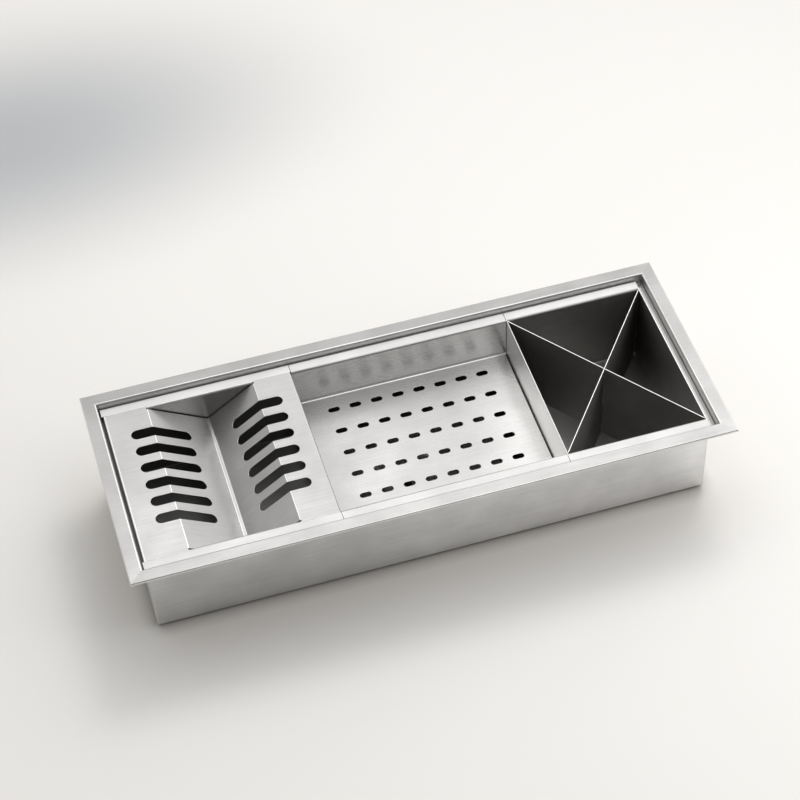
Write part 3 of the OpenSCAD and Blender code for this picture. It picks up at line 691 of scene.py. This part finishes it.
def soft_black(name, code, grain_mm, rough):
    """Rubber or foam: a fine grain in its roughness and surface, and a paler dust in patches."""
    made = bpy.data.materials.new(name)
    tree = new_tree(made)
    place = add(tree, "ShaderNodeTexCoord").outputs["Object"]
    grain = add(tree, "ShaderNodeTexNoise", {"Vector": place, "Scale": 1000 / grain_mm, "Detail": 3.0})
    dust = add(tree, "ShaderNodeTexNoise", {"Vector": place, "Scale": 1000 / DUST_L, "Detail": 3.0})
    base = linear(code)
    pale = tuple(min(1, c * DUST_GAIN + DUST_LIFT) for c in base[:3]) + (1.0,)
    colour = add(tree, "ShaderNodeMix", {0: dust.outputs[0], 6: base, 7: pale}, data_type="RGBA")
    gloss = add(tree, "ShaderNodeMapRange", {"Value": grain.outputs[0], "To Min": rough - 0.1,
                                             "To Max": rough + 0.1})
    bump = add(tree, "ShaderNodeBump", {"Height": grain.outputs[0], "Strength": 0.6,
                                        "Distance": grain_mm * 2e-4})
    shader = add(tree, "ShaderNodeBsdfPrincipled", {"Base Color": colour.outputs[2],
                                                    "Roughness": gloss.outputs[0], "Normal": bump.outputs[0]})
    add(tree, "ShaderNodeOutputMaterial", {"Surface": shader.outputs[0]})
    return made


def finish_node(node, material):
    """Gives a carried-over node its material."""
    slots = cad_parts[node].data.materials
    slots.clear()
    slots.append(material)


seal_foam = soft_black("closed_cell_foam", "#33322f", 0.8, 0.85)
pad_rubber = soft_black("butyl_rubber", "#262624", 2.0, 0.7)
finish_node("rim_seal", seal_foam)
finish_node("left_sound_pad", pad_rubber)
finish_node("right_sound_pad", pad_rubber)


# Strainer
# A round plate with rings of small holes that lies in the dish, and a turned knob spot welded
# on its middle to lift it by.
STRAINER_R, HOLE_R, FIRST_RING, RING_PITCH, RINGS = 52.5, 1.9, 12.0, 9.5, 4
KNOB_NECK, KNOB_R, KNOB_H, KNOB_SUNK = 3.5, 7.0, 11.0, 0.5
KNOB_LOW_ROUND, KNOB_TOP_ROUND = 0.6, 1.0
strainer_steel = brushed_steel("belt_brushed_304_strainer", "#7a7978", "#989796", 0.34)
plate_loops = [ring((STRAINER_R, 0), STRAINER_R, 96)]
for k in range(RINGS):
    holes = ring((STRAINER_R, 0), FIRST_RING + k * RING_PITCH, 6 * (k + 2))
    plate_loops += [ring(hole, HOLE_R, 16) for hole in holes]
knob_z = lip_z + THICK
strainer_plate = folded_sheet([(-STRAINER_R, knob_z), (STRAINER_R, knob_z)], [], -1, plate_loops, ALONG_X)
arc = np.linspace(0, np.pi / 2, 5)
short, full = 1 - np.sin(arc), 1 - np.cos(arc)
middle_z, top_z = knob_z + KNOB_H / 2, knob_z + KNOB_H
low_round = np.stack([KNOB_R - KNOB_LOW_ROUND * short, middle_z + KNOB_LOW_ROUND * full], -1)
top_round = np.stack([KNOB_R - KNOB_TOP_ROUND * full, top_z - KNOB_TOP_ROUND * short], -1)
knob_path = np.vstack([[(0, knob_z - KNOB_SUNK), (KNOB_NECK, knob_z - KNOB_SUNK), (KNOB_NECK, middle_z)],
                       low_round, top_round, [(0, top_z)]])
knob = turned(knob_path[::-1], steps=48)
make_piece("strainer_plate", "strainer", ["drain_strainer"], "strainer_steel", [strainer_steel, edge_and_highlight_steel],
           strainer_plate, knob)


# Plate rack
# One 1.2 mm sheet with twelve slots cut in the flat, then folded: the plate channel in its
# middle, and its left and right edges turned down to stand on the ledge.
FLANGE_Z = 153.0
FITTING_THICK = 1.2
RACK_X0, RACK_X1 = -423.5, -137.0
LEFT_FLAT, CHANNEL_W, CHANNEL_H, LEFT_PANEL, CREASE_W = 66.0, 161.5, 52.5, 84.9, 4.5
LEFT_FOLD = RACK_X0 + LEFT_FLAT
RIGHT_FOLD = LEFT_FOLD + CHANNEL_W
CREASE_X0, CREASE_Z = LEFT_FOLD + LEFT_PANEL, FLANGE_Z - CHANNEL_H
CREASE_X1 = CREASE_X0 + CREASE_W
CREASE_R, LIP_H = 2.0, 7.0
FOLD_Y, FACE_Y, CHANNEL_END = 140.3, 137.3, 135.3
RELIEF_R = 1.6
SLOT_W, SLOT_FLAT, SLOT_DROP, SLOT_PITCH, SLOT_SHIFT, SLOT_COUNT = 17.5, 33.8, 33.0, 32.6, 9.6, 6
LIT_LINE_FROM, LIT_LINE_PAST = 0.6, 0.7
# The belt leaves the flats a lively mid grey. A painted highlight, matt and almost white, marks edges that
# catch the light.
rack_steel = brushed_steel("belt_brushed_304_rack", "#a8a7a6", "#c8c7c6", 0.30)
white_highlight_steel = brushed_steel("painted_highlight_304_edge", "#f0efee", "#fcfbfa", 0.4, aniso=0, streak=0.4)
rack_line = [(RACK_X0, FLANGE_Z - LIP_H), (RACK_X0, FLANGE_Z), (LEFT_FOLD, FLANGE_Z), (CREASE_X0, CREASE_Z),
             (CREASE_X1, CREASE_Z), (RIGHT_FOLD, FLANGE_Z), (RACK_X1, FLANGE_Z), (RACK_X1, FLANGE_Z - LIP_H)]
rack_radii = [BEND_R, BEND_R, CREASE_R, CREASE_R, BEND_R, BEND_R]
rack_rows = fold_rows(rack_line, rack_radii)
rack_run = rack_rows[-1, 0] + rack_rows[-1, 1]
left_mid = rack_rows[3, 0] + rack_rows[3, 1] / 2
right_mid = rack_rows[9, 0] + rack_rows[9, 1] / 2
relief = np.linspace(np.pi / 2, 3 * np.pi / 2, 9)
notch = np.stack([np.cos(relief), np.sin(relief)], -1) * RELIEF_R
back_left = notch + (left_mid, CHANNEL_END + RELIEF_R)
back_right = notch[::-1] * (-1, 1) + (right_mid, CHANNEL_END + RELIEF_R)
back_side = np.vstack([[(0, FOLD_Y), (left_mid, FOLD_Y)], back_left, back_right,
                       [(right_mid, FOLD_Y), (rack_run, FOLD_Y)]])
rack_outline = np.vstack([back_side, back_side[::-1] * (1, -1)])
rack_loops = [rack_outline]
# Each slot reaches SLOT_FLAT along the flat and down to SLOT_DROP below it, measured from the fold
panel_sin = [np.sin(abs(rack_rows[i, 4])) for i in (4, 8)]
setback = [BEND_R * np.tan(rack_rows[i, 1] / BEND_R / 2) for i in (3, 9)]
slot_spans = [(rack_rows[3, 0] - SLOT_FLAT + setback[0],
               rack_rows[4, 0] + SLOT_DROP / panel_sin[0] - setback[0]),
              (rack_rows[9, 0] - SLOT_DROP / panel_sin[1] + setback[1],
               rack_rows[10, 0] + SLOT_FLAT - setback[1])]
for s0, s1 in slot_spans:
    for i in range(SLOT_COUNT):
        slot_mid = SLOT_SHIFT + (i - (SLOT_COUNT - 1) / 2) * SLOT_PITCH
        rack_loops.append(obround(((s0 + s1) / 2, slot_mid), s1 - s0, SLOT_W))
# The left turned-down edge is painted dark for shade, and a painted highlight runs along the bend above it
rack_painted_light_and_shade = [(0, rack_rows[1, 0], 2)] + bend_highlight(rack_rows, 1, 3, 5, 7, 9)
rack_painted_light_and_shade.append((rack_rows[1, 0] + LIT_LINE_FROM * rack_rows[1, 1], rack_rows[2, 0] + LIT_LINE_PAST, 3))
rack = folded_sheet(rack_line, rack_radii, -1, rack_loops, ALONG_Y, grain=0, painted_light_and_shade=rack_painted_light_and_shade,
                    back_slot=2, thick=FITTING_THICK)
make_piece("rack_folded_sheet", "rack", ["rack_sheet"], "rack_steel",
           [rack_steel, edge_and_highlight_steel, shade_steel, white_highlight_steel], rack)


# Rack rails
# A strip along the front and one along the back, welded to the folded sheet. Each bridges the
# ledge with a turned-down edge, and a plate folded down from it closes the plate channel.
EDGE_Y = 156.8
RAIL_X0 = RACK_X0 - 2
PLATE_BELOW = 8.5
PLATE_FOOT, SHOULDER = CREASE_Z - PLATE_BELOW, FLANGE_Z - PLATE_BELOW - BEND_R
# The flanges take a paler copy of the steel, painted lighter still towards the back, for light. The channel's
# end plates take a darker copy, painted for shade.
flange_steel = brushed_steel("belt_brushed_304_flange", "#b9b8b7", "#d3d2d1", 0.34,
                             painted_fades=[(1, 0.05, 0.15, 1.12)])
plate_steel = brushed_steel("belt_brushed_304_end_plate", "#9a9998", "#b5b4b3", 0.24)
rail_line = [(-EDGE_Y, LEDGE_Z), (-EDGE_Y, FLANGE_Z), (-FACE_Y, FLANGE_Z), (-FACE_Y, PLATE_FOOT)]
rail_rows = fold_rows(rail_line, [BEND_R, BEND_R])
strip_end = rail_rows[3, 0]
foot_s = rail_rows[-1, 0] + rail_rows[-1, 1]
shoulder_s = foot_s - (SHOULDER - PLATE_FOOT)
rail_outline = [(0, RAIL_X0), (strip_end, RAIL_X0), (strip_end, LEFT_FOLD), (shoulder_s, LEFT_FOLD),
                (foot_s, CREASE_X0), (foot_s, CREASE_X1), (shoulder_s, RIGHT_FOLD), (strip_end, RIGHT_FOLD),
                (strip_end, RACK_X1), (0, RACK_X1)]
rail_painted_light_and_shade = bend_highlight(rail_rows, 1) + [(rail_rows[4, 0], foot_s, 2)]
for name, way in (("front", 1), ("back", -1)):
    rail = folded_sheet(rail_line, [BEND_R, BEND_R], -1, [rail_outline], ((0, way, 0), (0, 0, 1), (1, 0, 0)),
                        painted_light_and_shade=rail_painted_light_and_shade, back_slot=2, thick=FITTING_THICK)
    make_piece(f"rack_{name}_strip", "rack", [f"rack_{name}_rail"], "rack_steel",
               [flange_steel, edge_and_highlight_steel, plate_steel], rail)


# Draining tray
# One sheet with drain slots, folded into flanges, walls and floor, and open at both ends,
# where the floor is turned down.
TRAY_X0, TRAY_X1 = -136.4, 202.0
TRAY_FLOOR = 82.0
TRAY_SLOT = (18.0, 9.0)
TRAY_PITCH, TRAY_COUNT, TRAY_SHIFT = (33.7, 43.4), (8, 6), 3
# The tray's floor is brushed lengthwise and mirrors the room in long soft streaks. It is painted lighter
# towards the box, darker towards the rack and darker at the back, for light and shade. Its walls are
# painted in a paler steel, making up for the darker front of the room that they mirror.
tray_steel = brushed_steel("belt_brushed_304_tray", "#b1b0af", "#cccbca", 0.28,
                           painted_fades=[(0, 0.08, 0.2, 1.3), (0, -0.07, -0.137, 0.8), (1, 0.095, 0.137, 0.9)])
wall_steel = brushed_steel("belt_brushed_304_tray_wall", "#f0efee", "#fcfbfa", 0.27)


def hanging_line(bottom):
    """Section of a fitting that hangs on the ledge: edges, flanges, walls and floor."""
    half = [(-EDGE_Y, LEDGE_Z), (-EDGE_Y, FLANGE_Z), (-FACE_Y, FLANGE_Z), (-FACE_Y, bottom)]
    return half + [(-y, z) for y, z in reversed(half)]


def flanges(rows):
    """The two flanges, up to the fold over the wall, in slot 3."""
    return [(rows[1, 0] + rows[1, 1], rows[3, 0], 3), (rows[9, 0] + rows[9, 1], rows[11, 0], 3)]


def walls(rows):
    """The two walls, between the bends above and below them, in slot 4."""
    return [(rows[4, 0], rows[5, 0], 4), (rows[8, 0], rows[9, 0], 4)]


tray_line = hanging_line(TRAY_FLOOR)
tray_rows = fold_rows(tray_line, [BEND_R] * 6)
tray_run = tray_rows[-1, 0] + tray_rows[-1, 1]
floor_low, floor_high = tray_rows[6, 0], tray_rows[7, 0]
tray_mid = (TRAY_X0 + TRAY_X1) / 2
tray_half = (TRAY_X1 - TRAY_X0) / 2
lip_end = tray_half - BEND_R + BEND_R * np.pi / 2 + LIP_H - BEND_R
NOTCH = 0.8
half_outline = [(0, tray_half), (floor_low, tray_half), (floor_low, tray_half - BEND_R),
                (floor_low + NOTCH, tray_half - BEND_R), (floor_low + NOTCH, lip_end)]
tray_end = np.array(half_outline + [(tray_run - s, v) for s, v in reversed(half_outline)])
tray_loops = [np.vstack([tray_end, tray_end[::-1] * (1, -1)]) + (0, tray_mid)]
for i in range(TRAY_COUNT[0]):
    for j in range(TRAY_COUNT[1]):
        slot = obround((0, 0), *TRAY_SLOT)[:, ::-1]
        tray_loops.append(slot + (tray_run / 2 + (j - (TRAY_COUNT[1] - 1) / 2) * TRAY_PITCH[1],
                                  tray_mid + TRAY_SHIFT + (i - (TRAY_COUNT[0] - 1) / 2) * TRAY_PITCH[0]))
tray_lips = {"middle": tray_mid, "straight": tray_half - BEND_R, "radius": BEND_R,
             "low": floor_low + NOTCH / 2, "high": floor_high - NOTCH / 2}
# At both ends a painted highlight lies on the start of the floor's bend, and the lip below it is painted dark
# for shade
GLINT_START, GLINT_END = 0.95, 0.55
tray_ends = []
for way in (-1, 1):
    bend_start, bend_end = (tray_mid + way * (tray_half - BEND_R * k) for k in (GLINT_START, GLINT_END))
    tray_ends.append((floor_low, floor_high, 1, *sorted((bend_start, bend_end))))
    tray_ends.append((floor_low, floor_high, 2, *sorted((bend_end, tray_mid + way * (lip_end + 1)))))
tray_painted_light_and_shade = bend_highlight(tray_rows, 1, 7, 11) + flanges(tray_rows) + walls(tray_rows) + tray_ends
tray = folded_sheet(tray_line, [BEND_R] * 6, -1, tray_loops, ALONG_X, lips=tray_lips, painted_light_and_shade=tray_painted_light_and_shade,
                    back_slot=2, thick=FITTING_THICK)
make_piece("tray_folded_sheet", "tray", ["tray"], "tray_steel",
           [tray_steel, edge_and_highlight_steel, shade_steel, flange_steel, wall_steel], tray)


# Utensil box
# A folded sheet for flanges, front, floor and back, and two side plates welded into it. It hangs
# on the ledge by its flanges, with its floor just above the basin's.
BOX_X0, BOX_X1, BOX_FLOOR = 202.6, 417.4, 8.2
# Deep inside the box the steel mirrors only itself, so its colour is painted darker for shade. The outsides
# of its side plates are painted paler for light.
box_steel = brushed_steel("belt_brushed_304_box", "#979593", "#b8b6b4", 0.34)
box_outer_steel = brushed_steel("belt_brushed_304_box_outside", "#f0efee", "#fcfbfa", 0.3)
box_line = hanging_line(BOX_FLOOR)
box_rows = fold_rows(box_line, [BEND_R] * 6)
box_run = box_rows[-1, 0] + box_rows[-1, 1]
box_wrap = folded_sheet(box_line, [BEND_R] * 6, -1,
                        [[(0, BOX_X0), (box_run, BOX_X0), (box_run, BOX_X1), (0, BOX_X1)]], ALONG_X,
                        painted_light_and_shade=bend_highlight(box_rows, 1, 11) + flanges(box_rows), thick=FITTING_THICK)
make_piece("box_folded_sheet", "utensil_box", ["box_wrap"], "box_steel",
           [box_steel, edge_and_highlight_steel, shade_steel, flange_steel], box_wrap)

# A side plate fills the section of the folded sheet between the upper ends of its wall bends
side_line = [(-FOLD_Y - 1, FLANGE_Z), (-FACE_Y, FLANGE_Z), (-FACE_Y, BOX_FLOOR),
             (FACE_Y, BOX_FLOOR), (FACE_Y, FLANGE_Z), (FOLD_Y + 1, FLANGE_Z)]
side_outline = bent_outline(side_line, [BEND_R] * 4)[1:-1]
for name, face_x, side in (("left", BOX_X0, 1), ("right", BOX_X1, -1)):
    plate = folded_sheet([(-FOLD_Y, face_x), (FOLD_Y, face_x)], [], side, [side_outline + (FOLD_Y, 0)],
                         END_PLANE, grain=0, welded=range(len(side_outline) - 1),
                         painted_light_and_shade=[(-np.inf, np.inf, 2)], thick=FITTING_THICK)
    make_piece(f"box_{name}_plate", "utensil_box", [f"box_{name}_side"], "box_steel",
               [box_steel, edge_and_highlight_steel, box_outer_steel], plate)


# Divider
# Two plates from corner to corner of the box, each notched to half its height where they
# cross, so that they push into each other. Their faces are painted the box's dark grey for shade, and
# their edges show as fine painted highlight lines.
DIVIDER_GAP, NOTCH_PLAY, FOOT_CUT = 0.8, 0.4, 6.0
divider_steel = brushed_steel("belt_brushed_304_divider", "#979593", "#b8b6b4", 0.32)
inside_x, inside_y = BOX_X1 - BOX_X0 - 2 * FITTING_THICK, 2 * FACE_Y
angle = np.arctan2(inside_y, inside_x)
corner_loss = FITTING_THICK / 2 * max(np.tan(angle), 1 / np.tan(angle))
divider_half = np.hypot(inside_x, inside_y) / 2 - corner_loss - DIVIDER_GAP
crossing = np.pi - 2 * angle
notch_half = (FITTING_THICK * (1 + abs(np.cos(crossing))) / np.sin(crossing) + NOTCH_PLAY) / 2
divider_h = FLANGE_Z - BOX_FLOOR
for name, turn, from_top in (("long", -angle, True), ("notched", angle, False)):
    foot = [(0, FOOT_CUT), (FOOT_CUT, 0)]
    gap = [(divider_half - notch_half, 0), (divider_half - notch_half, divider_h / 2)]
    if from_top:
        low, high = [], [(s, divider_h if z == 0 else z) for s, z in gap]
    else:
        low, high = gap, []
    half = foot + low
    outline = half + [(2 * divider_half - s, z) for s, z in reversed(half)]
    top = [(0, divider_h)] + high
    outline += [(2 * divider_half - s, z) for s, z in top] + list(reversed(top))
    centre = ((BOX_X0 + BOX_X1) / 2, 0, BOX_FLOOR)
    plane = ((np.cos(turn), np.sin(turn), 0), (-np.sin(turn), np.cos(turn), 0), (0, 0, 1))
    face = [(-divider_half, FITTING_THICK / 2), (divider_half, FITTING_THICK / 2)]
    plate = folded_sheet(face, [], -1, [outline], plane, centre, grain=0, thick=FITTING_THICK)
    make_piece(f"divider_{name}_plate", "divider", [f"divider_{name}"], "divider_steel",
               [divider_steel, white_highlight_steel], plate)
